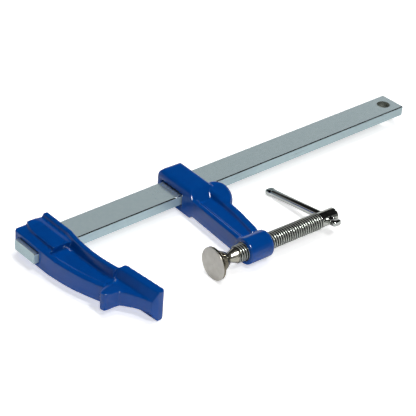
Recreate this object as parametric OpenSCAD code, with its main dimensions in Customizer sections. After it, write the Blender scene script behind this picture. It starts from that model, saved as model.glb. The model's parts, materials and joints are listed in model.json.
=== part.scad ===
// Screw clamp with a flat guide bar, a fixed jaw, a sliding arm and a screw spindle.
// It lies on its side: the bar runs along +X, the arms reach from the bar towards -Y, and +Z is up.
// The origin is on the fixed jaw's clamping face, level with the spindle when the arm stands square.

/* [Guide bar] */
// Width of the bar, from one narrow side to the other
bar_w = 30; // [24:0.5:36]
// Thickness of the bar
bar_t = 11; // [8:0.5:13]
// Length of the bar
bar_len = 478; // [360:1:700]
// Bevel along the bar's edges
bar_bevel = 0.8; // [0.2:0.1:1.5]
// Radius of the hanging hole near the bar's far end
hole_r = 7; // [4:0.5:8]
// Distance from the bar's far end to the middle of the hanging hole
hole_inset = 14.5; // [12:0.5:40]

/* [Fixed jaw] */
// Distance from the bar's inner edge to the middle of the clamping face
throat = 99; // [85:1:130]
// Distance from the bar's fixed end to the middle of the clamping face
jaw_reach = 51; // [48:0.5:56]
// Length of the bar that stands out behind the jaw
butt_out = 4; // [2:0.5:6]
// Length of the jaw's head along the bar
head_len = 37; // [34:0.5:40]
// How far the heads of both arms reach past the bar's outer edge
head_over = 8; // [6:0.5:12]
// How far the thick head reaches past the bar's inner edge
head_under = 10; // [8:0.5:12]
// Half height of the raised block over the bar
block_h = 13.2; // [12:0.2:14]
// How much higher the block is at its lip, by the bar's outer edge
block_lip = 0.7; // [0:0.1:1.2]
// How much lower the block is under the flange than at its lip
block_fall = 2.6; // [0:0.2:3]
// Length of the block, from its step to the flange
block_len = 23; // [18:0.5:26]
// Length of the block that is level along the bar
block_flat = 10.5; // [6:0.5:14]
// How far the block's step turns in at its lip
block_turn = 5.6; // [0:0.2:8]
// Half height of the outer rim and of the head beside the block
rim_h = 10.8; // [9:0.2:11.6]
// Half height of the outer rim at the heel
rim_end_h = 8.4; // [7.4:0.2:9]
// Width of the outer rim
rim_w = 4.8; // [3:0.2:6]
// How far the outer rim runs straight past the bar's inner edge
rim_straight = 13; // [12.5:0.5:18]
// How far the outer edge sweeps in from the head to the heel
rim_sweep = 13.2; // [10:0.2:16]
// Bow of the outer edge
rim_bow = 2.8; // [1:0.1:5]
// Half height of the inner flange
flange_h = 15.4; // [14.2:0.2:17]
// Width of the inner flange
flange_w = 4.8; // [3:0.2:6]
// Bow of the inner flange
flange_bow = 3.5; // [1:0.1:5]
// Half thickness of the web
web_h = 6.5; // [5:0.1:7]
// Spread of the slopes from the web up to the rims
slope_w = 3.5; // [1:0.25:5]
// Width of the clamping plate, down the arm
plate_w = 50; // [44:1:56]
// Half height of the clamping plate
plate_h = 15; // [12:0.5:18]
// How far the clamping plate reaches past the middle of its face, at its tip
plate_tip = 19; // [16:0.5:24]
// Thickness of the clamping plate
plate_t = 8; // [6:0.5:9]
// Spread of the slope behind the clamping plate
plate_slope = 5.6; // [3:0.2:7]
// Lean of the clamping face, which the load takes out
plate_lean = 5; // [0:0.5:6]
// Distance from the spindle's level to the heel
heel_up = 22.5; // [19:0.5:26]
// How far the heel stands out behind the arm
heel_out = 6.9; // [5:0.1:10]
// How far the heel's back lies below its root
heel_drop = 4.5; // [3:0.25:7]
// Width of the heel's back
heel_w = 6.2; // [5.6:0.2:9]
// Length of the heel's straight foot
heel_len = 14; // [10:0.5:16]
// Lean of the heel's back and foot
heel_lean = 8; // [0:1:12]
// Half height of the heel
heel_h = 9.2; // [7.4:0.2:11]
// Bow of the hollow between the heel and the tip
hollow_bow = 2; // [1:0.1:4]
// How far the hollow ends above the clamping plate's tip
hollow_up = 2.6; // [2:0.2:5]
// Gap between the bar and the walls of the jaw's slot
slot_gap = 0.1; // [0:0.05:0.3]
// Bevel round the mouth of the jaw's slot
slot_mouth = 1; // [0.5:0.1:2]

/* [Sliding arm] */
// Distance from the clamping face to the middle of the arm's loop
arm_x = 132.5; // [130:0.5:300]
// Lean of the slack arm on the bar
arm_lean = 2; // [0:0.25:2.5]
// Length of the loop along the bar
loop_len = 28.6; // [26:0.2:31]
// Half height of the loop
loop_h = 15.8; // [13.6:0.2:18]
// Bevel round the mouths of the loop
loop_mouth = 1.5; // [0.5:0.1:2.4]
// Radius of the loop's long edges
loop_round = 5; // [4:0.5:9]
// Radius of the loop's front edges
loop_front_round = 6.5; // [2:0.5:6.5]
// Radius of the loop's back edges
loop_back_round = 4; // [2:0.5:6.5]
// Gap between the bar's wide faces and the loop
loop_gap_z = 1; // [0.5:0.1:2]
// Gap left between the bar's narrow sides and the loop when the arm leans
loop_gap_y = 0.25; // [0.2:0.05:0.8]
// How far the loop reaches past the bar's inner edge
loop_under = 10.5; // [8:0.5:14]
// Length of the slope from the loop down to the arm
loop_step = 10; // [6:0.5:14]
// Half height of the arm's front rim
front_h = 8.8; // [7:0.2:11]
// Half height of the arm's back rim at the loop
back_h = 11; // [7:0.2:12.4]
// Half height of the arm's back rim at the boss
back_end_h = 8.6; // [7:0.2:11]
// Half thickness of the arm's web
arm_web_h = 6; // [4:0.2:6.6]
// Width of the arm's rims
arm_rim_w = 4.5; // [3:0.5:6]
// How far the arm's back edge sweeps in from the loop to the boss
back_sweep = 7.9; // [6:0.1:10]
// Bow of the arm's back edge
back_bow = 2.3; // [1:0.1:4]
// How far the shoulder stands out behind the loop
shoulder_out = 14; // [10:0.5:14.5]
// Distance from the bar's inner edge to the shoulder
shoulder_gap = 3.3; // [2.5:0.1:6]
// Length of the shoulder down the arm
shoulder_len = 36.3; // [30:0.5:42]
// How far the shoulder's foot stands out behind the loop
shoulder_foot_out = 2.1; // [0:0.1:4]
// Half height of the shoulder beside the loop
shoulder_h = 13.5; // [12:0.1:15]
// Half height of the shoulder at its foot
shoulder_foot_h = 10.5; // [9:0.1:12]
// Radius of the shoulder's upper corner
shoulder_round = 12; // [8:0.5:13]
// Bow of the shoulder's back
shoulder_bow = 2.5; // [1:0.1:4]
// Roundness of the shoulder's long edges
shoulder_edge = 3; // [1:0.25:4]
// How far the boss stands out in front of the loop
boss_fore = 5; // [3:0.5:7]
// Radius of the threaded boss
boss_r = 13; // [11.5:0.25:15]
// Length of the threaded boss
boss_len = 27; // [22:0.5:30]

/* [Spindle] */
// Outer radius of the screw thread
thread_r = 8.25; // [7:0.25:9]
// Depth of the screw thread
thread_depth = 1.3; // [0.8:0.1:1.6]
// Rise of the thread in one turn
pitch = 2.75; // [2:0.25:4]
// Length of the threaded part
thread_len = 102; // [96:1:140]
// Distance from the front of the boss to the face of the pad
pad_out = 35.5; // [35.5:0.5:60]
// Length of the bare neck behind the pad
neck_len = 3.5; // [2:0.5:6]
// Radius of the neck
neck_r = 4.9; // [4:0.1:5.2]
// Length of the bare cone before the thread
nose_len = 7; // [6:0.5:12]
// Radius of the ball in the pad
ball_r = 6.9; // [6.6:0.1:7.2]
// Radius of the spindle's head
head_r = 7.5; // [6.8:0.1:8]
// Length of the spindle's head
head_end_len = 20; // [19:0.5:30]
// Bevel at the end of the spindle's head
head_bevel = 0.8; // [0.2:0.1:1.5]
// Gap between the thread's crests and the boss
thread_gap = 0.1; // [0.05:0.05:0.3]

/* [Swivel pad] */
// Radius of the pad's face
pad_r = 16; // [14:0.5:20]
// Thickness of the pad's rim
pad_rim = 2.8; // [1.5:0.1:4]
// Thickness of the pad in front of the ball
pad_floor = 2.4; // [1.5:0.1:3]
// Radius of the pad's collar round the ball
collar_r = 9.4; // [9:0.1:11]
// How far the collar reaches past the middle of the ball
collar_len = 6; // [5.5:0.1:6.4]
// Gap between the ball and the pad
ball_gap = 0.2; // [0.1:0.05:0.3]

/* [Tommy bar] */
// Radius of the tommy bar
tommy_r = 4; // [3:0.25:4.5]
// Length of the tommy bar
tommy_len = 100.5; // [80:0.5:101]
// Distance from the side of the spindle's head to the near flattened end
tommy_near = 1.4; // [0.8:0.1:20]
// Length of each flattened end
tommy_end = 8.5; // [6:0.5:10]
// Half width of each flattened end
tommy_end_w = 5; // [4.8:0.1:6]
// Half thickness of each flattened end
tommy_end_t = 2.9; // [2:0.1:3]
// Gap between the tommy bar and its hole
tommy_gap = 0.1; // [0.05:0.05:0.2]
// Turn of the tommy bar about the spindle
tommy_turn = -9; // [-180:0.5:180]

/* [Hidden] */
$fn = 72;
// Smoothness of the long, slack arcs along the arms
arc_fn = 360;
// Overshoot of a cut past the face that it opens
cut = 1;
// Steps in one rounded corner of an outline
corner_steps = 6;
// Steps in one bowed edge of an outline
arc_steps = 12;

// Places along the bar, and the spindle's distance from the bar's middle line
bar_y = throat + bar_w / 2;
bar_start = -jaw_reach;
hole_x = bar_start + bar_len - hole_inset;
head_top = bar_w / 2 + head_over;

// Play that the arm needs to lean on the bar, beside the gap that is left
loop_play = loop_len / 2 * tan(arm_lean) + loop_gap_y;

// Places along the spindle, measured from the middle of the arm's loop
boss_front = -loop_len / 2 - boss_fore;
boss_back = boss_front + boss_len;
pad_face = boss_front - pad_out;
ball_x = pad_face + pad_floor + ball_gap + ball_r;
collar_end = ball_x + collar_len;
nose_x = collar_end + neck_len;
thread_x = nose_x + nose_len;
thread_end = thread_x + thread_len;
head_end = thread_end + head_end_len;
tommy_x = thread_end + head_end_len / 2 - 0.5;

function unit(v) = v / norm(v);
function turn_towards(a, b) = a + ((b - a + 540) % 360 - 180);
function heading(v) = atan2(v[1], v[0]);
function rotated(v, a) = [v[0] * cos(a) - v[1] * sin(a), v[0] * sin(a) + v[1] * cos(a)];

// Points of an arc round c from angle a to angle b, ends included
function arc(c, r, a, b, steps) =
    [for (i = [0 : steps]) let (t = a + (b - a) * i / steps) c + r * [cos(t), sin(t)]];

// Corner at p1, rounded by r, on the way from p0 to p2
function corner(p0, p1, p2, r) =
    let (u = unit(p0 - p1), v = unit(p2 - p1), half = acos(u * v) / 2)
    r <= 0 || half > 89 ? [p1] :
    let (c = p1 + unit(u + v) * r / sin(half), a = heading(p1 + u * r / tan(half) - c))
    arc(c, r, a, turn_towards(a, heading(p1 + v * r / tan(half) - c)), corner_steps);

// Outline through the points [x, y, radius], each corner rounded
function rounded(pts) =
    let (n = len(pts), xy = [for (p = pts) [p[0], p[1]]])
    [for (i = [0 : n - 1]) each corner(xy[(i + n - 1) % n], xy[i], xy[(i + 1) % n], pts[i][2])];

// Radius and centre of the arc from p to q that bows out to the left by rise
function bow_r(p, q, rise) = (pow(norm(q - p) / 2, 2) + rise * rise) / (2 * abs(rise));
function bow_centre(p, q, rise) =
    (p + q) / 2 + unit([p[1] - q[1], q[0] - p[0]]) * (rise - sign(rise) * bow_r(p, q, rise));

// Points [x, y, 0] of that arc, without its ends
function bow(p, q, rise) =
    let (c = bow_centre(p, q, rise), a = heading(p - c), b = turn_towards(a, heading(q - c)))
    [for (i = [1 : arc_steps - 1]) let (t = a + (b - a) * i / arc_steps)
        [c[0] + bow_r(p, q, rise) * cos(t), c[1] + bow_r(p, q, rise) * sin(t), 0]];

// Closed outline from [place, half height] points and their mirror images across the middle plane
function both_sides(pts) =
    concat(pts, [for (i = [len(pts) - 1 : -1 : 0]) [pts[i][0], -pts[i][1]]]);

// Slab on both sides of the middle plane
module slab(half) {
    translate([0, 0, -half])
        linear_extrude(height = 2 * half)
            children();
}

// Long prism along X, with a section of [y, half height] points
module prism_x(pts, reach) {
    rotate([90, 0, 90])
        linear_extrude(height = 2 * reach, center = true)
            polygon(both_sides(pts));
}

// Long prism along Y, with a section of [x, half height] points
module prism_y(pts, reach) {
    rotate([90, 0, 0])
        linear_extrude(height = 2 * reach, center = true)
            polygon(both_sides(pts));
}

// Rim of the given profile, [distance out of the arc's centre side, height], along the arc from p to q
module bowed_rim(p, q, rise, profile) {
    c = bow_centre(p, q, rise);
    r = bow_r(p, q, rise);
    intersection() {
        translate([c[0], c[1], 0])
            rotate_extrude($fn = arc_fn)
                polygon([for (v = profile) [r + v[0], v[1]]]);
        slab(2 * bar_w)
            polygon([c, c + (p - c) * 2, c + (p + q - 2 * c) * 2, c + (q - c) * 2]);
    }
}

// Rim's profile, from its outer wall at 0 over its top to the foot of its slope; side is 1 or -1
function rim_profile(side, w, h, foot, slope) = [
    [0, -h], [0, h], [side * w, h], [side * (w + slope), foot],
    [side * (w + slope), -foot], [side * w, -h]
];

// Rectangular hole along the bar, from x0 to x1, with bevelled mouths
module bar_hole(x0, x1, gap_y, gap_z, bevel0, bevel1) {
    hw = bar_w / 2 + gap_y;
    ht = bar_t / 2 + gap_z;
    translate([x0 - cut, -hw, -ht])
        cube([x1 - x0 + 2 * cut, 2 * hw, 2 * ht]);
    hole_mouth(x0, 1, bevel0, hw, ht);
    hole_mouth(x1, -1, bevel1, hw, ht);
}

// Bevel at a hole's mouth at x, opening against the direction that side gives
module hole_mouth(x, side, bevel, hw, ht) {
    translate([x, 0, 0])
        mirror([side < 0 ? 1 : 0, 0, 0])
            intersection() {
                rotate([90, 0, 0])
                    linear_extrude(height = 2 * (hw + bevel + cut), center = true)
                        mouth_section(ht, bevel);
                linear_extrude(height = 2 * (ht + bevel + cut), center = true)
                    mouth_section(hw, bevel);
            }
}

module mouth_section(half, bevel) {
    wide = half + bevel + cut;
    polygon([[-cut, -wide], [bevel, -half], [bevel, half], [-cut, wide]]);
}

module guide_bar() {
    w = bar_w / 2;
    t = bar_t / 2;
    b = bar_bevel;
    color("lightgray")
        difference() {
            translate([bar_start, bar_y, 0])
                rotate([90, 0, 90])
                    linear_extrude(height = bar_len)
                        polygon([
                            [w - b, t], [w, t - b], [w, b - t], [w - b, -t],
                            [b - w, -t], [-w, b - t], [-w, t - b], [b - w, t]
                        ]);
            translate([hole_x, bar_y, -bar_t])
                cylinder(r = hole_r, h = 2 * bar_t);
        }
}

// Places on the fixed jaw, measured from the bar's fixed end and its middle line
head_back = butt_out;
head_front = butt_out + head_len;
head_foot = -bar_w / 2 - head_under;
rim_top = [head_back, -bar_w / 2 - rim_straight];
rim_foot = [head_back + rim_sweep, heel_up - bar_y];
heel_tip = rim_foot - [heel_out, heel_drop];
heel_low = heel_tip + rotated([0, -heel_w], heel_lean);
hollow_top = heel_low + rotated([heel_len, 0], -heel_lean);
flange_top = [head_front, -bar_w / 2];
flange_core = head_front - 0.75 * flange_w;
plate_root = plate_tip - plate_w;

// Point on the plate: u out of its face, v towards its tip from the spindle's level
function on_plate(u, v) = [jaw_reach, -bar_y] + rotated([u, -v], plate_lean);

hollow_foot = on_plate(-plate_t - plate_slope, plate_tip - hollow_up);
flange_foot = on_plate(-plate_t, plate_root);

module jaw_outline() {
    tip = on_plate(0, plate_tip);
    tip_back = on_plate(-plate_t, plate_tip);
    top = on_plate(0, plate_root);
    bevel = 2.5;
    polygon(rounded(concat(
        [[head_back, head_top - bevel, 1.5], [rim_top[0], rim_top[1], 0]],
        bow(rim_top, rim_foot, -rim_bow),
        [[rim_foot[0], rim_foot[1], 1], [heel_tip[0], heel_tip[1], 2.5]],
        [[heel_low[0], heel_low[1], 3.5], [hollow_top[0], hollow_top[1], 0]],
        bow(hollow_top, hollow_foot, hollow_bow),
        [[hollow_foot[0], hollow_foot[1], 0], [tip_back[0], tip_back[1], 2], [tip[0], tip[1], 3.5]],
        [[top[0], top[1], 3], [flange_foot[0], flange_foot[1], 0]],
        bow(flange_foot, flange_top, flange_bow),
        [[flange_top[0], flange_top[1], 0], [head_front, head_top, 3]],
        [[head_back + bevel, head_top, 2]])));
}

// Raised block over the bar: it falls towards the flange and rises to a lip at the bar's outer edge
module jaw_block() {
    x0 = head_front - flange_w - block_len;
    lip = block_h + block_lip;
    level = x0 + block_flat;
    slope = block_fall / (head_front - level);
    intersection() {
        slab(2 * bar_w)
            jaw_outline();
        slab(2 * bar_w)
            polygon(rounded([
                [x0, head_foot, 1.5], [flange_core, head_foot, 0], [flange_core, head_top + cut, 0],
                [x0 + block_turn, head_top + cut, 0], [x0, head_top / 2, 3 * bar_w / 2]]));
        prism_y([[0, lip + level * slope], [head_front, lip - block_fall]], bar_w);
        prism_x([
            [head_foot - cut, block_h], [bar_w / 2, block_h], [head_top - 2, lip], [head_top + cut, block_h]
        ], head_front);
    }
}

// Outer rim and the head beside the block, lower towards the heel
module jaw_outer_rim() {
    r = bow_r(rim_top, rim_foot, -rim_bow);
    rim_x = head_back + rim_w;
    intersection() {
        union() {
            bowed_rim(rim_top, rim_foot, -rim_bow, rim_profile(-1, rim_w, rim_h, web_h, slope_w));
            slab(rim_h)
                polygon([
                    [head_back, head_top], [head_back, rim_top[1]], [rim_x, rim_top[1]],
                    [rim_x, head_foot], [flange_core, head_foot], [flange_core, head_top]]);
        }
        prism_x([[head_top + cut, rim_h], [rim_foot[1] - rim_w, rim_end_h]], 2 * r);
        slab(2 * bar_w)
            jaw_outline();
    }
}

// Inner flange, straight beside the bar and bowed down to the clamping plate
module jaw_flange() {
    bowed_rim(flange_foot, flange_top, flange_bow, rim_profile(1, flange_w, flange_h, web_h, slope_w));
    straight = head_top - flange_top[1];
    translate([head_front, head_top, 0])
        rotate([90, 0, 0])
            linear_extrude(height = straight)
                polygon(rim_profile(-1, flange_w, flange_h, web_h, slope_w));
}

// Heel, which falls to the web up the arm and along the hollow
module jaw_heel() {
    intersection() {
        slab(2 * bar_w)
            jaw_outline();
        prism_y([[heel_tip[0], heel_h], [jaw_reach, web_h - cut]], 2 * bar_y);
        prism_x([[rim_foot[1] + 2 * heel_drop, web_h - cut], [hollow_foot[1], 2 * heel_h]], 2 * bar_y);
    }
}

// Clamping plate with the slope behind it
module jaw_plate() {
    intersection() {
        translate([jaw_reach, -bar_y, 0])
            rotate([0, 0, plate_lean])
                translate([0, -plate_root, 0])
                    rotate([90, 0, 0])
                        linear_extrude(height = plate_w)
                            polygon(rim_profile(-1, plate_t, plate_h, web_h, plate_slope));
        slab(2 * bar_w)
            jaw_outline();
    }
}

module fixed_jaw() {
    color("royalblue")
        translate([bar_start, bar_y, 0])
            difference() {
                union() {
                    slab(web_h)
                        jaw_outline();
                    jaw_block();
                    jaw_outer_rim();
                    jaw_flange();
                    jaw_heel();
                    jaw_plate();
                }
                bar_hole(head_back, head_front, slot_gap, slot_gap, slot_mouth, slot_mouth);
            }
}

// Places the arm and all that it carries: children are drawn square, round the middle of the loop
module on_arm() {
    translate([arm_x, bar_y, 0])
        rotate([0, 0, -arm_lean])
            children();
}

// Turns a profile of [place along the spindle, radius] about the spindle's axis
module turned(profile) {
    translate([0, -bar_y, 0])
        rotate([0, 90, 0])
            rotate_extrude()
                polygon([for (v = profile) [v[1], v[0]]]);
}

// Places on the sliding arm, measured from the middle of its loop
loop_x = loop_len / 2;
loop_foot = -bar_w / 2 - loop_under;
front_top = [-loop_x, loop_foot - loop_step / 2];
back_top = [loop_x, loop_foot];
back_foot = [loop_x - back_sweep, 10 - bar_y];
shoulder_top = -bar_w / 2 - shoulder_gap;
shoulder_foot = [loop_x + shoulder_foot_out, shoulder_top - shoulder_len];

module arm_outline() {
    polygon(rounded(concat(
        [[-loop_x, head_top, 2], [front_top[0], front_top[1], 0], [boss_front, -bar_y, 0]],
        [[back_foot[0], -bar_y, 0], [back_foot[0], back_foot[1], 0]],
        bow(back_foot, back_top, -back_bow),
        [[back_top[0], back_top[1], 0], [loop_x, head_top, 3]])));
}

// Rims on both edges of the arm
module arm_rims() {
    reach = 2 * bow_r(back_foot, back_top, -back_bow);
    front = [boss_front, -bar_y] - front_top;
    intersection() {
        translate([front_top[0], front_top[1], 0])
            rotate([90, 0, heading(front) + 90])
                linear_extrude(height = norm(front))
                    polygon(rim_profile(1, arm_rim_w, front_h, arm_web_h, slope_w));
        slab(2 * bar_w)
            arm_outline();
    }
    intersection() {
        bowed_rim(back_foot, back_top, -back_bow, rim_profile(-1, arm_rim_w, loop_h, arm_web_h, slope_w));
        prism_x([[loop_foot, back_h], [back_foot[1] - boss_r, back_end_h]], reach);
    }
}

// Shoulder behind the arm, below the bar's inner edge: its top falls towards its foot
module arm_shoulder() {
    rim_x = loop_x - arm_rim_w;
    hull() {
        slab(arm_web_h)
            shoulder_outline(rim_x - slope_w, 0);
        shoulder_layer(rim_x, 0, shoulder_edge);
        shoulder_layer(rim_x, 0.3 * shoulder_edge, 0.3 * shoulder_edge);
        shoulder_layer(rim_x, shoulder_edge, 0);
    }
}

// The shoulder up to drop below its top, drawn in by inset
module shoulder_layer(inner, inset, drop) {
    intersection() {
        slab(2 * bar_w)
            shoulder_outline(inner, inset);
        prism_x([
            [shoulder_top, shoulder_h - drop], [shoulder_foot[1] - shoulder_edge, shoulder_foot_h - drop]
        ], bar_y);
    }
}

// The shoulder's outline from its inner side at x = inner, drawn in by inset
module shoulder_outline(inner, inset) {
    x = loop_x + shoulder_out - inset;
    bend = [x, shoulder_top - shoulder_round - 1];
    foot = shoulder_foot - [inset, 0];
    polygon(rounded(concat(
        [[inner, shoulder_top - inset, 0], [x, shoulder_top - inset, shoulder_round - inset]],
        [[bend[0], bend[1], 0]],
        bow(bend, foot, shoulder_bow),
        [[foot[0], foot[1], 0], [inner, foot[1] - shoulder_edge + inset, 0]])));
}

// Loop round the bar, rounded on its edges, with a slope down to the arm
module arm_loop() {
    intersection() {
        slab(2 * bar_w)
            arm_outline();
        rotate([90, 0, 90])
            linear_extrude(height = 2 * loop_len, center = true)
                polygon(rounded([
                    [head_top, -loop_h, loop_round], [head_top, loop_h, loop_round],
                    [loop_foot, loop_h, 2], [loop_foot - loop_step, arm_web_h, 0],
                    [loop_foot - loop_step, -arm_web_h, 0], [loop_foot, -loop_h, 2]]));
        rotate([90, 0, 0])
            linear_extrude(height = 2 * bar_y, center = true)
                polygon(rounded([
                    [-loop_x, -loop_h, loop_front_round], [loop_x, -loop_h, loop_back_round],
                    [loop_x, loop_h, loop_back_round], [-loop_x, loop_h, loop_front_round]]));
    }
}

module sliding_arm() {
    bore_r = thread_r + thread_gap;
    color("royalblue")
        on_arm()
            difference() {
                union() {
                    slab(arm_web_h)
                        arm_outline();
                    arm_loop();
                    arm_rims();
                    arm_shoulder();
                    turned([
                        [boss_front, 0], [boss_front, boss_r - 1], [boss_front + 1, boss_r],
                        [boss_back - 1, boss_r], [boss_back, boss_r - 1], [boss_back, 0]]);
                }
                bar_hole(-loop_x, loop_x, loop_play, loop_gap_z, loop_mouth, loop_mouth);
                translate([boss_front - cut, -bar_y, 0])
                    rotate([0, 90, 0])
                        cylinder(r = bore_r, h = boss_len + 2 * cut);
            }
}

module swivel_pad() {
    socket_r = ball_r + ball_gap;
    lip_r = neck_r + 2 * ball_gap;
    edge = 0.5;
    color("silver")
        on_arm()
            difference() {
                turned([
                    [pad_face, 0], [pad_face, pad_r - edge], [pad_face + edge, pad_r],
                    [pad_face + pad_rim, pad_r], [ball_x - 3, collar_r + 1],
                    [ball_x - 1.5, collar_r], [ball_x + 1.5, collar_r],
                    [collar_end, lip_r + 1.2], [collar_end, 0]]);
                translate([ball_x, -bar_y, 0])
                    rotate([0, 90, 0]) {
                        sphere(r = socket_r);
                        cylinder(r = lip_r, h = collar_len + cut);
                    }
            }
}

// One ridge of the thread for each turn
function thread_ridges() =
    let (crest = pitch / 8, flank = (pitch - 2 * crest) / 2, root = thread_r - thread_depth)
    [for (i = [0 : floor(thread_len / pitch) - 1])
        let (x = thread_x + i * pitch, up = x + flank, down = up + crest)
        each [[x, root], [up, thread_r], [down, thread_r], [down + flank, root]]];

module spindle() {
    color("silver")
        on_arm()
            difference() {
                union() {
                    translate([ball_x, -bar_y, 0])
                        rotate([0, 90, 0])
                            sphere(r = ball_r);
                    turned(concat(
                        [[ball_x, 0], [ball_x, neck_r], [nose_x, neck_r]],
                        [[thread_x, thread_r - thread_depth / 2]],
                        thread_ridges(),
                        [[thread_end, thread_r - thread_depth], [thread_end, head_r]],
                        [[head_end - head_bevel, head_r], [head_end, head_r - head_bevel], [head_end, 0]]));
                }
                translate([tommy_x, -bar_y, 0])
                    rotate([tommy_turn - 90, 0, 0])
                        cylinder(r = tommy_r + tommy_gap, h = 4 * head_r, center = true);
            }
}

// Flattened end of the tommy bar, from the origin towards +Y; its foot lies inside the round rod
module flattened_end() {
    foot = sqrt(tommy_r * tommy_r - tommy_end_t * tommy_end_t) - 0.3;
    slab(tommy_end_t)
        polygon(rounded([
            [-foot, -1, 0], [foot, -1, 0], [foot, 0, 0],
            [tommy_end_w, 2.5, 1], [tommy_end_w, tommy_end, 2.5],
            [-tommy_end_w, tommy_end, 2.5], [-tommy_end_w, 2.5, 1], [-foot, 0, 0]]));
}

module tommy_bar() {
    // Where each flattened end starts: one lies against the spindle's head
    short_y = -head_r - tommy_near;
    long_y = short_y - tommy_end + tommy_len - tommy_end;
    color("silver")
        on_arm()
            translate([tommy_x, -bar_y, 0])
                rotate([tommy_turn, 0, 0]) {
                    translate([0, short_y, 0])
                        rotate([-90, 0, 0])
                            cylinder(r = tommy_r, h = long_y - short_y);
                    translate([0, long_y, 0])
                        flattened_end();
                    translate([0, short_y, 0])
                        mirror([0, 1, 0])
                            flattened_end();
                }
}

guide_bar();
fixed_jaw();
sliding_arm();
swivel_pad();
spindle();
tommy_bar();
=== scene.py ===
"""Looks of a screw clamp: painted castings, a plated bar, a turned screw with its pad, and a tommy bar."""
import json
import math

import bpy
import numpy as np
from mathutils import Matrix, Vector


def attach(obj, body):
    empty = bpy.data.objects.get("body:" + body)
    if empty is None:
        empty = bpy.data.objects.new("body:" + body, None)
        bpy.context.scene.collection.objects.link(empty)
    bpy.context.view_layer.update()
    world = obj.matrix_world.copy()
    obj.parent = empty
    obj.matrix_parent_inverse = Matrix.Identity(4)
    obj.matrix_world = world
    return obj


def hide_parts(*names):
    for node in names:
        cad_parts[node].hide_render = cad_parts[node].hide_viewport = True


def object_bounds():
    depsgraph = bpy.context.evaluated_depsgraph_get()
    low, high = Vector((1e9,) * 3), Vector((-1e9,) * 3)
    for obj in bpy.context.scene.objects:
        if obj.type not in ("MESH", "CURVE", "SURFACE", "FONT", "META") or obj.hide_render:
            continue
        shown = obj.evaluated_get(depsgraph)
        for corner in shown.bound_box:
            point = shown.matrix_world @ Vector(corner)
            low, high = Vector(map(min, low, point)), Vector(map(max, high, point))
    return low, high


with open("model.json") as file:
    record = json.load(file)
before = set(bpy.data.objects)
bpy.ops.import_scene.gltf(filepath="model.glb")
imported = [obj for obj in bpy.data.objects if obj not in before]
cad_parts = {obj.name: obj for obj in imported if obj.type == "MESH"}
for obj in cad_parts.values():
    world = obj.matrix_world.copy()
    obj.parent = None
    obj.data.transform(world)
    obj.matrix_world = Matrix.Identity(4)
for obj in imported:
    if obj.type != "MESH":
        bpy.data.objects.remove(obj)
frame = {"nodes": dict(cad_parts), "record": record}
cad_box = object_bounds()

# Sizes are in millimetres, and MM turns them to the frame's metres
MM = 0.001

# The photograph's camera, in the clamp's own frame and in metres
CAMERA_PLACE = Vector((-0.67228, -0.77863, 0.75472))
CAMERA_TARGET = Vector((0.12486, 0.06802, 0.0055))
CAMERA_ROLL = math.radians(4.51)
LENS_MM = 127.8
SENSOR_MM = 36

# The pad, in places along the screw from its face
PAD_R = 16
PAD_RIM = 2.8
PAD_FLOOR = 2.4
DIMPLE_R = 1.2
DIMPLE_DEPTH = 0.5
COLLAR_R = 9.4
COLLAR_LIP = 1.3
COLLAR_LIP_LEN = 3

# The screw behind it
BALL_R = 6.9
BALL_GAP = 0.2
BALL_PLACE = PAD_FLOOR + BALL_GAP + BALL_R
COLLAR_END = BALL_PLACE + 6
NECK_R = 4.9
NOSE_PLACE = COLLAR_END + 3.5
THREAD_PLACE = NOSE_PLACE + 7
THREAD_END = THREAD_PLACE + 102
THREAD_R = 8.25
THREAD_DEPTH = 1.3
THREAD_LEAD = 0.5
THREAD_RUN_OUT = 1.2
PITCH = 2.75
CONE_STEP = 0.5
HEAD_R = 7.5
HEAD_END = THREAD_END + 20
HEAD_SINK = 1.5
HEAD_EDGE = 1
HOLE_EDGE = 0.35

# A ridge of the thread, in halves of the pitch: half its width at the foot, and the width of its flank
RIDGE_FOOT = 0.86
RIDGE_FLANK = 0.7

# Radius of the small flats that close a turned shape on its axis, on the pad and on the screw
AXIS_R = 0.01
CAP_R = 0.05

# The arm's threaded boss, on the screw's line
BOSS_FRONT = 35.5
BOSS_BACK = BOSS_FRONT + 27
BORE_R = THREAD_R + 0.1
BORE_CHAMFER = 0.9
DRILL_OVER = 2

# The loop's front face and its outer side, along and across the bar, and the size of the corner between them
LOOP_FRONT = 118
LOOP_OUTSIDE = 137
CORNER_LEN = 8
CORNER_W = 6

# How finely the castings are skinned, and how far their edges and the loop's corner are rounded
SKIN_MM = 0.6
EDGE_PASSES = 11
CORNER_PASSES = 90

# Width of the bar's broken edges
BROKEN_EDGE = 0.2

# The tommy bar: its place along the screw, its turn, and its flattened ends
TOMMY_PLACE = THREAD_END + 9.5
TOMMY_TURN = math.radians(-9)
TOMMY_R = 4
TOMMY_GAP = 0.1
TOMMY_LEN = 100.5
TOMMY_END = 8.5
TOMMY_END_W = 5
TOMMY_END_T = 2.9
TOMMY_TIP = 3
TOMMY_SHORT = -HEAD_R - 1.4
TOMMY_LONG = TOMMY_SHORT + TOMMY_LEN - 2 * TOMMY_END

# The pinch that the squeezing tool leaves at the start of each flattened end
PINCH_PLACE = 1.2
PINCH_LEN = 0.9
PINCH_DEPTH = 0.5

# The studio: what the floor and the wall give the camera, plain surfaces and mirroring ones
FLOOR_HALF = 3000
FLOOR_GLOW = 0.62
CARD_NEAR = 0.75
CARD_FAR = 0.1
WALL_LEVEL = 0.85
CEILING_LEVEL = 0.01
SIDE_LEVEL = 0.2
SOFT_LEVEL = 0.12

# Ways from the clamp to the lamps
OVERHEAD_WAY = (0.15, 0.1, 1)
KEY_WAY = (-0.1, -0.56, 0.82)
RIM_WAY = (0.83, -0.03, 0.54)
BAR_CARD_WAY = (0.576, 0.612, 0.542)


def mount(name):
    """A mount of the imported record."""
    return next(m for m in frame["record"]["mounts"] if m["name"] == name)


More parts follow.
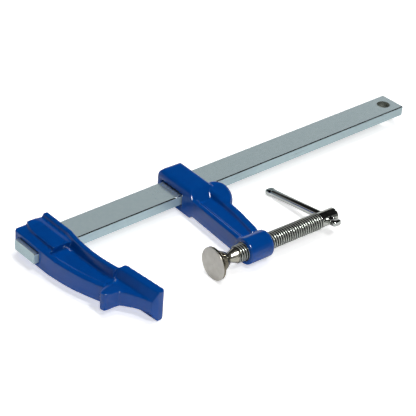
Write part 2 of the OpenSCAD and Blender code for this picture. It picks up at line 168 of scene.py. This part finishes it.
# Frame of the screw: +X from the pad along the screw, +Y towards the bar, origin on the pad's face
screw_way = -Vector(mount("pad_face")["axis"])
side_way = Vector((0, 0, 1)).cross(screw_way)
SCREW_FRAME = Matrix.Translation(Vector(mount("pad_face")["pos_m"])) @ Matrix(
    (screw_way, side_way, (0, 0, 1))).transposed().to_4x4()
to_tommy = Matrix.Translation((TOMMY_PLACE * MM, 0, 0)) @ Matrix.Rotation(TOMMY_TURN, 4, "X")
TOMMY_FRAME = SCREW_FRAME @ to_tommy


def linear(hex_colour):
    """A colour written as sRGB hex, as the linear RGBA that a socket takes."""
    shares = [int(hex_colour[i:i + 2], 16) / 255 for i in (1, 3, 5)]
    return [s / 12.92 if s <= 0.04045 else ((s + 0.055) / 1.055) ** 2.4 for s in shares] + [1]


def add(tree, kind, inputs=None, **settings):
    """Adds a node with its settings; an input is a value, or the socket that it is linked from."""
    node = tree.nodes.new("ShaderNode" + kind)
    for name, value in settings.items():
        setattr(node, name, value)
    for name, value in (inputs or {}).items():
        if isinstance(value, bpy.types.NodeSocket):
            tree.links.new(value, node.inputs[name])
        else:
            node.inputs[name].default_value = value
    return node


def new_material(name):
    """An empty node material, as its material and its node tree."""
    material = bpy.data.materials.new(name)
    material.use_nodes = True
    material.node_tree.nodes.clear()
    return material, material.node_tree


def spread(tree, source, low, high):
    """Turns a pattern's 0 to 1 into low to high."""
    return add(tree, "MapRange", {"Value": source, "To Min": low, "To Max": high}).outputs["Result"]


def two_tones(tree, source, dark, light):
    """Mixes two hex colours by a pattern."""
    mix = add(tree, "Mix", {0: source, 6: linear(dark), 7: linear(light)}, data_type="RGBA")
    return mix.outputs[2]


def gloss_enamel():
    """Gloss blue enamel dipped over rough cast iron: a clear shine over a softly uneven skin."""
    material, tree = new_material("gloss_blue_enamel")
    place = add(tree, "TexCoord").outputs["Object"]
    grain = add(tree, "TexNoise", {"Vector": place, "Scale": 1 / (1.6 * MM), "Detail": 3.0})
    pooling = add(tree, "TexNoise", {"Vector": place, "Scale": 1 / (9 * MM), "Detail": 2.0})
    coarse = add(tree, "Bump", {"Height": pooling.outputs["Fac"], "Strength": 0.3, "Distance": 0.3 * MM})
    fine = add(tree, "Bump", {
        "Height": grain.outputs["Fac"], "Strength": 0.25, "Distance": 0.1 * MM, "Normal": coarse.outputs[0]})
    skin = add(tree, "BsdfPrincipled", {
        "Base Color": two_tones(tree, pooling.outputs["Fac"], "#00418F", "#004A9E"),
        "Roughness": spread(tree, grain.outputs["Fac"], 0.08, 0.16),
        "IOR": 1.5,
        "Normal": fine.outputs[0]})
    add(tree, "OutputMaterial", {"Surface": skin.outputs[0]})
    return material


def drawn_steel(name, dark, light, metallic, smooth, rough):
    """Drawn steel of the bar, with fine lines along it: its flats mirror softly and its edges are dull."""
    material, tree = new_material(name)
    place = add(tree, "TexCoord").outputs["Object"]
    along = add(tree, "Mapping", {
        "Vector": place, "Scale": (1 / (60 * MM), 1 / (0.9 * MM), 1 / (0.9 * MM))})
    lines = add(tree, "TexNoise", {"Vector": along.outputs[0], "Scale": 1.0, "Detail": 4.0})
    cloud = add(tree, "TexNoise", {"Vector": place, "Scale": 1 / (4 * MM), "Detail": 5.0})
    bump = add(tree, "Bump", {"Height": lines.outputs["Fac"], "Strength": 0.12, "Distance": 0.02 * MM})
    skin = add(tree, "BsdfPrincipled", {
        "Base Color": two_tones(tree, cloud.outputs["Fac"], dark, light),
        "Metallic": metallic,
        "Roughness": spread(tree, lines.outputs["Fac"], smooth, rough),
        "Normal": bump.outputs[0]})
    add(tree, "OutputMaterial", {"Surface": skin.outputs[0]})
    return material


def dark_line_arris():
    """The bar's bevels mirror the dark studio as a thin dark line, and a darker tone painted on deepens it.
    """
    material, tree = new_material("bar_arris_painted_dark_steel")
    place = add(tree, "TexCoord").outputs["Object"]
    along = add(tree, "Mapping", {
        "Vector": place, "Scale": (1 / (30 * MM), 1 / (0.5 * MM), 1 / (0.5 * MM))})
    arris_streaks = add(tree, "TexNoise", {"Vector": along.outputs[0], "Scale": 1.0, "Detail": 3.0})
    bump = add(tree, "Bump", {"Height": arris_streaks.outputs["Fac"], "Strength": 0.1, "Distance": 0.01 * MM})
    skin = add(tree, "BsdfPrincipled", {
        # Painted shade: a darker steel than the bar's own, so that the bevels show as a dark line
        "Base Color": two_tones(tree, arris_streaks.outputs["Fac"], "#8C9496", "#A2A9AA"),
        "Metallic": 1.0,
        "Roughness": spread(tree, arris_streaks.outputs["Fac"], 0.1, 0.2),
        "Normal": bump.outputs[0]})
    add(tree, "OutputMaterial", {"Surface": skin.outputs[0]})
    return material


def turned_steel(name, dark, light, smooth, rough, line_mm, direction="X", metallic=1.0, root_shade=None):
    """Turned, plated steel, its tool lines round the axis; a dark colour can paint shade into a thread's
    roots.
    """
    material, tree = new_material(name)
    turn = SCREW_FRAME if direction == "X" else TOMMY_FRAME
    place = add(tree, "Mapping", {
        "Vector": add(tree, "TexCoord").outputs["Object"],
        "Location": turn.to_translation(), "Rotation": turn.to_euler()}, vector_type="TEXTURE").outputs[0]
    scale = math.pi / (10 * line_mm * MM)
    sides = add(tree, "TexWave", {
        "Vector": place, "Scale": scale, "Distortion": 1.5, "Detail": 2.0, "Detail Scale": 2.0},
        wave_type="BANDS", bands_direction=direction)
    ends = add(tree, "TexWave", {
        "Vector": place, "Scale": scale, "Distortion": 1.5, "Detail": 2.0, "Detail Scale": 2.0},
        wave_type="RINGS", rings_direction=direction)
    both = add(tree, "Math", {0: sides.outputs["Fac"], 1: ends.outputs["Fac"]}, operation="ADD")
    cloud = add(tree, "TexNoise", {"Vector": place, "Scale": 1 / (5 * MM), "Detail": 3.0})
    bump = add(tree, "Bump", {"Height": both.outputs[0], "Strength": 0.15, "Distance": 0.015 * MM})
    colour = two_tones(tree, cloud.outputs["Fac"], dark, light)
    if root_shade is not None:
        across = add(tree, "VectorMath", {0: place, 1: (0, 1, 1)}, operation="MULTIPLY")
        radius = add(tree, "VectorMath", {0: across.outputs[0]}, operation="LENGTH").outputs["Value"]
        # Painted shade: darker towards the thread's roots, near black at the root
        crest = add(tree, "MapRange", {
            "Value": radius, "From Min": (THREAD_R - THREAD_DEPTH + 0.4) * MM,
            "From Max": (THREAD_R - 0.1) * MM}).outputs["Result"]
        colour = add(tree, "Mix", {0: crest, 6: linear(root_shade), 7: colour}, data_type="RGBA").outputs[2]
    skin = add(tree, "BsdfPrincipled", {
        "Base Color": colour,
        "Metallic": metallic,
        "Roughness": spread(tree, cloud.outputs["Fac"], smooth, rough),
        "Normal": bump.outputs[0]})
    add(tree, "OutputMaterial", {"Surface": skin.outputs[0]})
    return material


enamel = gloss_enamel()
zinc_edge = drawn_steel(
    "zinc_plated_drawn_edge", "#B3CCD3", "#C4D9DE", metallic=0.35, smooth=0.24, rough=0.34)
zinc_flat = drawn_steel(
    "zinc_plated_rolled_flat", "#AFC3C8", "#C0D0D3", metallic=0.72, smooth=0.14, rough=0.22)
# Bevels with painted shade, darker than the bar's steel
arris = dark_line_arris()
# Painted shade: the hole's wall takes a darker grey for the shade inside the hole
hole_shade_steel = drawn_steel(
    "hole_wall_painted_shade_steel", "#84887F", "#9DA198", metallic=0.7, smooth=0.2, rough=0.34)
screw_steel = turned_steel(
    "bright_plated_screw_steel", "#B4B1A2", "#CAC8BB", smooth=0.2, rough=0.3, line_mm=0.8)
head_steel = turned_steel(
    "polished_screw_head_steel", "#B9BBB4", "#CFD2CC", smooth=0.1, rough=0.16, line_mm=0.8)
# The thread, with shade painted near black into its roots
thread_steel = turned_steel(
    "thread_steel_painted_root_shade", "#BDC1B9", "#CED3CC", smooth=0.24, rough=0.36, line_mm=0.8,
    metallic=0.8, root_shade="#0B0C0B")
pad_steel = turned_steel(
    "fine_turned_pad_steel", "#BDB9AE", "#DFDCD4", smooth=0.28, rough=0.46, line_mm=0.9, metallic=0.6)
# Painted shade: the pad's back is a darker copy of the turned steel
pad_back_shaded_steel = turned_steel(
    "turned_pad_back_steel_painted_shade", "#76705F", "#8E8878", smooth=0.16, rough=0.28, line_mm=0.9)
rod_steel = turned_steel(
    "bright_plated_rod_steel", "#C2C5C2", "#D2D5D2", smooth=0.07, rough=0.12, line_mm=1.2, direction="Y")


def new_object(name, verts, faces, place=None):
    """An object from vertices in millimetres, set at its place in the mesh itself."""
    points = np.asarray(verts, float) * MM
    if place is not None:
        turn = np.array(place)
        points = points @ turn[:3, :3].T + turn[:3, 3]
    mesh = bpy.data.meshes.new(name)
    mesh.from_pydata(points.tolist(), [], faces)
    mesh.validate()
    mesh.update()
    piece = bpy.data.objects.new(name, mesh)
    bpy.context.scene.collection.objects.link(piece)
    return piece


def shade(piece, crease_deg):
    """Shades a piece smooth, apart from its creases."""
    piece.data.polygons.foreach_set("use_smooth", [True] * len(piece.data.polygons))
    piece.data.set_sharp_from_angle(angle=math.radians(crease_deg))


def dress(piece, material, body, crease_deg=35):
    """Gives a piece its material and its slot, and the body that it rides on."""
    piece.data.materials.clear()
    piece.data.materials.append(material)
    shade(piece, crease_deg)
    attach(piece, body)


def dress_beyond(piece, place, material):
    """Gives another material to the faces past a place along the screw."""
    piece.data.materials.append(material)
    to_screw = SCREW_FRAME.inverted()
    for face in piece.data.polygons:
        if (to_screw @ face.center).x > place * MM:
            face.material_index = 1


def skin_rings(rings):
    """Vertices and faces of a closed skin over rings of equal length, with a flat cap on each end."""
    rings = np.asarray(rings, float)
    count, around = rings.shape[:2]
    faces = []
    for i in range(count - 1):
        for j in range(around):
            here = i * around
            after = (j + 1) % around
            faces.append((here + j, here + after, here + around + after, here + around + j))
    faces.append(tuple(reversed(range(around))))
    faces.append(tuple(range((count - 1) * around, count * around)))
    return rings.reshape(-1, 3), faces


def rounded(points, steps=5):
    """Path through points (x, y, radius), with an arc at each corner that has a radius."""
    path = []
    for i, (x, y, radius) in enumerate(points):
        here = Vector((x, y))
        if radius <= 0:
            path.append(here)
            continue
        before = (Vector(points[i - 1][:2]) - here).normalized()
        after = (Vector(points[i + 1][:2]) - here).normalized()
        half = before.angle(after) / 2
        centre = here + (before + after).normalized() * radius / math.sin(half)
        start = here + before * radius / math.tan(half) - centre
        end = here + after * radius / math.tan(half) - centre
        sweep = start.angle_signed(end)
        for k in range(steps + 1):
            turn = -sweep * k / steps
            path.append(centre + Matrix.Rotation(turn, 2) @ start)
    return path


def ring_angles(around):
    """Angles of the points of a ring."""
    return np.arange(around) * 2 * math.pi / around


def turned(profile, around=96):
    """Rings of a shape turned about +X, from its profile (place along the axis, radius)."""
    angles = ring_angles(around)
    return [
        np.stack([np.full(around, x), r * np.cos(angles), r * np.sin(angles)], axis=1) for x, r in profile]


def apply_modifiers(piece):
    """Writes a piece's modifiers into its mesh."""
    evaluated = piece.evaluated_get(bpy.context.evaluated_depsgraph_get())
    mesh = bpy.data.meshes.new_from_object(evaluated)
    piece.modifiers.clear()
    piece.data = mesh


def copy_of(node, name):
    """A free copy of a CAD node, to be given softer edges."""
    piece = bpy.data.objects.new(name, frame["nodes"][node].data.copy())
    bpy.context.scene.collection.objects.link(piece)
    return piece


def combine(piece, rings, place, operation, material=None):
    """Joins a closed skin to a piece or cuts it out; the cut takes the material."""
    verts, faces = skin_rings(rings)
    tool = new_object("tool", verts, faces, place)
    if material is not None:
        tool.data.materials.append(material)
    step = piece.modifiers.new("combine", "BOOLEAN")
    step.object = tool
    step.operation = operation
    step.material_mode = "TRANSFER"
    bpy.context.view_layer.update()
    apply_modifiers(piece)
    bpy.data.objects.remove(tool)


def break_edges(piece, width, angle_deg):
    """Breaks the sharp edges of a machined piece."""
    edge = piece.modifiers.new("broken_edges", "BEVEL")
    edge.width = width * MM
    edge.segments = 2
    edge.limit_method = "ANGLE"
    edge.angle_limit = math.radians(angle_deg)
    apply_modifiers(piece)


def soften(piece):
    """Rounds every edge and fillet of a casting, as the mould and the paint do."""
    remesh = piece.modifiers.new("skin", "REMESH")
    remesh.mode = "VOXEL"
    remesh.voxel_size = SKIN_MM * MM
    smooth = piece.modifiers.new("smooth", "SMOOTH")
    smooth.factor = 0.5
    smooth.iterations = EDGE_PASSES
    apply_modifiers(piece)


def round_off(piece, corner):
    """Rounds a corner further; corner says, of a point in millimetres, whether it is in it."""
    group = piece.vertex_groups.new(name="corner")
    group.add([v.index for v in piece.data.vertices if corner(v.co / MM)], 1.0, "REPLACE")
    smooth = piece.modifiers.new("corner", "SMOOTH")
    smooth.factor = 0.5
    smooth.iterations = CORNER_PASSES
    smooth.vertex_group = group.name
    apply_modifiers(piece)


def make_jaw():
    """The fixed jaw's casting."""
    piece = copy_of("fixed_jaw", "jaw_casting")
    soften(piece)
    dress(piece, enamel, "frame", crease_deg=180)
    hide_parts("fixed_jaw")


def in_loop_corner(point):
    """Whether a point is in the corner between the loop's front face and its outer side."""
    return point.x < LOOP_FRONT + CORNER_LEN and point.y > LOOP_OUTSIDE - CORNER_W


def make_arm():
    """The sliding arm's casting, bored and chamfered after painting, so that the bore shows bare steel."""
    piece = copy_of("sliding_arm", "arm_casting")
    plug = turned([(BOSS_FRONT, BORE_R + 1), (BOSS_BACK, BORE_R + 1)])
    combine(piece, plug, SCREW_FRAME, "UNION")
    soften(piece)
    round_off(piece, in_loop_corner)
    dress(piece, enamel, "arm", crease_deg=30)
    wide_r = BORE_R + BORE_CHAMFER + DRILL_OVER
    drill = turned([
        (BOSS_FRONT - DRILL_OVER, wide_r), (BOSS_FRONT + BORE_CHAMFER, BORE_R),
        (BOSS_BACK - BORE_CHAMFER, BORE_R), (BOSS_BACK + DRILL_OVER, wide_r)])
    combine(piece, drill, SCREW_FRAME, "DIFFERENCE", screw_steel)
    shade(piece, 30)
    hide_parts("sliding_arm")


def make_bar():
    """The bar: dull drawn edges, softly mirroring flats, bevels painted darker, hole wall in painted shade.
    """
    piece = copy_of("guide_bar", "bar_flat")
    break_edges(piece, BROKEN_EDGE, 30)
    dress(piece, zinc_edge, "frame", crease_deg=30)
    piece.data.materials.append(arris)
    piece.data.materials.append(zinc_flat)
    piece.data.materials.append(hole_shade_steel)
    hole = Vector(mount("hang_hole")["pos_m"])
    hole_r = (mount("hang_hole")["dims"]["r_mm"] + 2 * BROKEN_EDGE) * MM
    for face in piece.data.polygons:
        is_flat = abs(face.normal.z) > 0.9
        is_bevel = abs(face.normal.y * face.normal.z) > 0.2
        # The hole's wall: darker grey, painted shade
        if not is_flat and (face.center - hole).xy.length < hole_r:
            face.material_index = 3
        elif is_bevel:
            face.material_index = 1
        elif is_flat:
            face.material_index = 2
    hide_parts("guide_bar")
    return piece


def make_pad():
    """The round pad, turned all over, with a centre dimple and the collar closed round the ball."""
    lip_r = NECK_R + 2 * BALL_GAP
    profile = rounded([
        (DIMPLE_DEPTH, AXIS_R, 0), (0.1, 0.8, 0.2), (0, DIMPLE_R, 0), (0, PAD_R, 0.7), (PAD_RIM, PAD_R, 0.9),
        (BALL_PLACE - 2.6, COLLAR_R + 0.8, 1.5), (BALL_PLACE + 1, COLLAR_R, 1.8),
        (COLLAR_END, lip_r + COLLAR_LIP, 0.5), (COLLAR_END, lip_r, 0.3),
        (COLLAR_END - COLLAR_LIP_LEN, lip_r, 0), (COLLAR_END - COLLAR_LIP_LEN, AXIS_R, 0)])
    verts, faces = skin_rings(turned(profile))
    piece = new_object("pad_turned", verts, faces, SCREW_FRAME)
    dress(piece, pad_steel, "pad")
    # The pad's back takes the darker copy, painted shade
    dress_beyond(piece, DIMPLE_DEPTH, pad_back_shaded_steel)
    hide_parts("swivel_pad")


def thread_radius(place, angle):
    """Radius of the screw at a place and an angle: the cone, and a right-hand ridge above its root."""
    root = THREAD_R - THREAD_DEPTH
    turn = ((place - THREAD_PLACE) / PITCH - angle / (2 * math.pi)) % 1
    off_crest = np.abs(turn - 0.5) * 2
    height = np.clip((RIDGE_FOOT - off_crest) / RIDGE_FLANK, 0, 1)
    height = height * height * (3 - 2 * height)
    run_out = np.clip((THREAD_END - place) / THREAD_RUN_OUT, 0, 1)
    thread = root + THREAD_DEPTH * height * run_out
    cone_slope = (root + CONE_STEP - NECK_R) / (THREAD_PLACE - NOSE_PLACE)
    cone = NECK_R + np.maximum(place - NOSE_PLACE, 0) * cone_slope
    start = cone + np.maximum(place - THREAD_PLACE + THREAD_LEAD, 0) * 0.9
    return np.where(place < THREAD_PLACE - THREAD_LEAD, cone, np.minimum(thread, start))


def make_screw():
    """The ball, neck, cone and rolled thread as one skin, with a true helix."""
    step = PITCH / 14
    around = 72
    angles = ring_angles(around)
    ball = []
    for degrees in range(0, 136, 9):
        turn = math.radians(degrees)
        ball.append((BALL_PLACE - BALL_R * math.cos(turn), max(BALL_R * math.sin(turn), CAP_R)))
    rings = turned(ball, around)
    for place in np.arange(COLLAR_END - 1, THREAD_END + step / 2, step):
        radius = thread_radius(np.full(around, place), angles)
        rings.append(np.stack(
            [np.full(around, place), radius * np.cos(angles), radius * np.sin(angles)], axis=1))
    verts, faces = skin_rings(rings)
    piece = new_object("screw_threaded", verts, faces, SCREW_FRAME)
    dress(piece, screw_steel, "screw", 60)
    # The thread takes the steel with painted shade in its roots
    dress_beyond(piece, THREAD_PLACE - THREAD_LEAD, thread_steel)
    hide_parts("spindle")


def make_head():
    """The plain head behind the thread, with the tommy bar's cross hole."""
    front = THREAD_END - HEAD_SINK
    profile = rounded([
        (front, CAP_R, 0), (front, HEAD_R - 1.2, 0), (THREAD_END - 0.2, HEAD_R, 0.4),
        (HEAD_END - HEAD_EDGE, HEAD_R, 0.6), (HEAD_END, HEAD_R - HEAD_EDGE, 0.3), (HEAD_END, CAP_R, 0)])
    verts, faces = skin_rings(turned(profile))
    piece = new_object("screw_head", verts, faces, SCREW_FRAME)
    across = TOMMY_FRAME @ Matrix.Rotation(math.pi / 2, 4, "Z")
    drill = turned([(-20, TOMMY_R + TOMMY_GAP), (20, TOMMY_R + TOMMY_GAP)], 64)
    combine(piece, drill, across, "DIFFERENCE")
    break_edges(piece, HOLE_EDGE, 40)
    dress(piece, head_steel, "screw")
    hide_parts("spindle")


def blend_step(value, low, high):
    """0 below low, 1 above high, and a soft step between them."""
    share = min(max((value - low) / (high - low), 0), 1)
    return share * share * (3 - 2 * share)


def rod_section(out, angles):
    """Section of the tommy bar, out millimetres past the start of its flattened end: half widths x and z."""
    flat = blend_step(out, 0, 2.5)
    pinch = PINCH_DEPTH * math.exp(-((out - PINCH_PLACE) / PINCH_LEN) ** 2)
    tip = max(0, 1 - ((max(out - TOMMY_END + TOMMY_TIP, 0)) / TOMMY_TIP) ** 2.4)
    width = (TOMMY_R + (TOMMY_END_W - TOMMY_R) * flat) * (0.35 + 0.65 * math.sqrt(tip))
    thick = (TOMMY_R + (TOMMY_END_T - TOMMY_R) * flat - pinch) * (0.55 + 0.45 * math.sqrt(tip))
    power = 2 + 1.6 * flat
    cos = np.cos(angles)
    sin = np.sin(angles)
    x = width * np.sign(cos) * np.abs(cos) ** (2 / power)
    z = thick * np.sign(sin) * np.abs(sin) ** (2 / power)
    return x, z


def make_tommy_bar():
    """The rod with both ends squeezed flat, so that it can't slide out of the head."""
    around = 64
    angles = ring_angles(around)
    outs = np.concatenate([
        np.linspace(0, TOMMY_END - 1, 26), TOMMY_END - 1 + np.sin(np.linspace(0.1, 1.5, 9))])
    places = [(TOMMY_SHORT - out, out) for out in outs[::-1]] + [(TOMMY_LONG + out, out) for out in outs]
    rings = []
    for place, out in places:
        x, z = rod_section(out, angles)
        rings.append(np.stack([x, np.full(around, place), z], axis=1))
    verts, faces = skin_rings(rings)
    faces = [tuple(reversed(face)) for face in faces]
    piece = new_object("tommy_rod", verts, faces, TOMMY_FRAME)
    dress(piece, rod_steel, "handle", 60)
    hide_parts("tommy_bar")


make_jaw()
make_arm()
bar = make_bar()
make_pad()
make_screw()
make_head()
make_tommy_bar()


def make_floor():
    """Pale floor: white for the camera, with the clamp's soft shadow and a white card's light by the jaw."""
    material, tree = new_material("pale_floor")
    path = add(tree, "LightPath")
    matt = add(tree, "BsdfDiffuse", {"Color": linear("#F2F2F2")})
    glow = add(tree, "Emission", {"Color": (1, 1, 1, 1), "Strength": FLOOR_GLOW})
    across = add(tree, "SeparateXYZ", {0: add(tree, "TexCoord").outputs["Object"]}).outputs["X"]
    card = add(tree, "MapRange", {
        "Value": across, "From Min": -0.05, "From Max": 0.35, "To Min": CARD_NEAR, "To Max": CARD_FAR})
    bounce = add(tree, "Emission", {"Color": (1, 1, 1, 1), "Strength": card.outputs["Result"]})
    lifted = add(tree, "AddShader", {0: matt.outputs[0], 1: glow.outputs[0]})
    bouncing = add(tree, "AddShader", {0: matt.outputs[0], 1: bounce.outputs[0]})
    unseen = add(tree, "MixShader", {
        0: path.outputs["Is Diffuse Ray"], 1: matt.outputs[0], 2: bouncing.outputs[0]})
    shown = add(tree, "MixShader", {
        0: path.outputs["Is Camera Ray"], 1: unseen.outputs[0], 2: lifted.outputs[0]})
    add(tree, "OutputMaterial", {"Surface": shown.outputs[0]})
    low = cad_box[0].z / MM
    corners = [(x * FLOOR_HALF, y * FLOOR_HALF, low) for x, y in ((-1, -1), (1, -1), (1, 1), (-1, 1))]
    floor = new_object("floor", corners, [(0, 1, 2, 3)])
    floor.data.materials.append(material)


def make_world():
    """A dark studio with a low white wall behind the clamp, away from the camera; white for the camera."""
    world = bpy.data.worlds.new("studio")
    bpy.context.scene.world = world
    world.use_nodes = True
    tree = world.node_tree
    tree.nodes.clear()
    path = add(tree, "LightPath")
    way = add(tree, "TexCoord").outputs["Generated"]
    height = add(tree, "SeparateXYZ", {0: way}).outputs["Z"]
    wall = add(tree, "MapRange", {
        "Value": height, "From Min": 0.2, "From Max": 0.5, "To Min": WALL_LEVEL, "To Max": CEILING_LEVEL},
        interpolation_type="SMOOTHSTEP")
    away = Vector((CAMERA_TARGET - CAMERA_PLACE).xy).normalized().to_3d()
    towards = add(tree, "VectorMath", {0: way, 1: away}, operation="DOT_PRODUCT")
    side = add(tree, "MapRange", {
        "Value": towards.outputs["Value"],
        "From Min": -0.3, "From Max": 0.5, "To Min": SIDE_LEVEL, "To Max": 1.0},
        interpolation_type="SMOOTHSTEP")
    level = add(tree, "Math", {0: wall.outputs["Result"], 1: side.outputs["Result"]}, operation="MULTIPLY")
    mirrored = add(tree, "Background", {"Color": (1, 1, 1, 1), "Strength": level.outputs[0]})
    soft = add(tree, "Background", {"Color": (1, 1, 1, 1), "Strength": SOFT_LEVEL})
    white = add(tree, "Background", {"Color": (1, 1, 1, 1), "Strength": 1.0})
    glossy = add(tree, "MixShader", {
        0: path.outputs["Is Glossy Ray"], 1: soft.outputs[0], 2: mirrored.outputs[0]})
    clear = add(tree, "MixShader", {
        0: path.outputs["Is Transmission Ray"], 1: glossy.outputs[0], 2: white.outputs[0]})
    seen = add(tree, "MixShader", {
        0: path.outputs["Is Camera Ray"], 1: clear.outputs[0], 2: white.outputs[0]})
    add(tree, "OutputWorld", {"Surface": seen.outputs[0]})


def make_lamp(name, way, distance, size_mm, watts, lights=True, mirrored=True, only=None):
    """A square soft box that looks at the clamp: it lights it, is mirrored in it, or both.

    With only, it is there for one piece alone."""
    data = bpy.data.lights.new(name, "AREA")
    data.size = size_mm * MM
    data.energy = watts
    lamp = bpy.data.objects.new(name, data)
    bpy.context.scene.collection.objects.link(lamp)
    way = Vector(way).normalized()
    lamp.location = CAMERA_TARGET + way * distance
    lamp.rotation_euler = way.to_track_quat("Z", "Y").to_euler()
    lamp.visible_diffuse = lights
    lamp.visible_glossy = mirrored
    if only is not None:
        lit = bpy.data.collections.new(name + "_lights")
        lit.objects.link(only)
        lamp.light_linking.receiver_collection = lit


def make_camera():
    """The photograph's camera, which is rolled a little about its own line of sight."""
    data = bpy.data.cameras.new("photo_camera")
    data.lens = LENS_MM
    data.sensor_width = SENSOR_MM
    camera = bpy.data.objects.new("photo_camera", data)
    bpy.context.scene.collection.objects.link(camera)
    back = (CAMERA_PLACE - CAMERA_TARGET).normalized()
    right = Vector((0, 0, 1)).cross(back).normalized()
    up = back.cross(right)
    rolled_right = math.cos(CAMERA_ROLL) * right + math.sin(CAMERA_ROLL) * up
    rolled_up = math.cos(CAMERA_ROLL) * up - math.sin(CAMERA_ROLL) * right
    turn = Matrix((rolled_right, rolled_up, back)).transposed().to_4x4()
    camera.matrix_world = Matrix.Translation(CAMERA_PLACE) @ turn
    bpy.context.scene.camera = camera


make_floor()
make_world()
make_lamp("overhead_softbox", OVERHEAD_WAY, distance=1.4, size_mm=700, watts=10, mirrored=False)
make_lamp("key_softbox", KEY_WAY, distance=1.45, size_mm=160, watts=6, mirrored=False)
make_lamp("key_window", KEY_WAY, distance=1.45, size_mm=420, watts=38, lights=False)
make_lamp("rim_softbox", RIM_WAY, distance=1.45, size_mm=80, watts=1)
make_lamp("bar_card", BAR_CARD_WAY, distance=1.45, size_mm=1700, watts=4.3, lights=False, only=bar)
make_camera()
bpy.context.scene.view_settings.view_transform = "Standard"
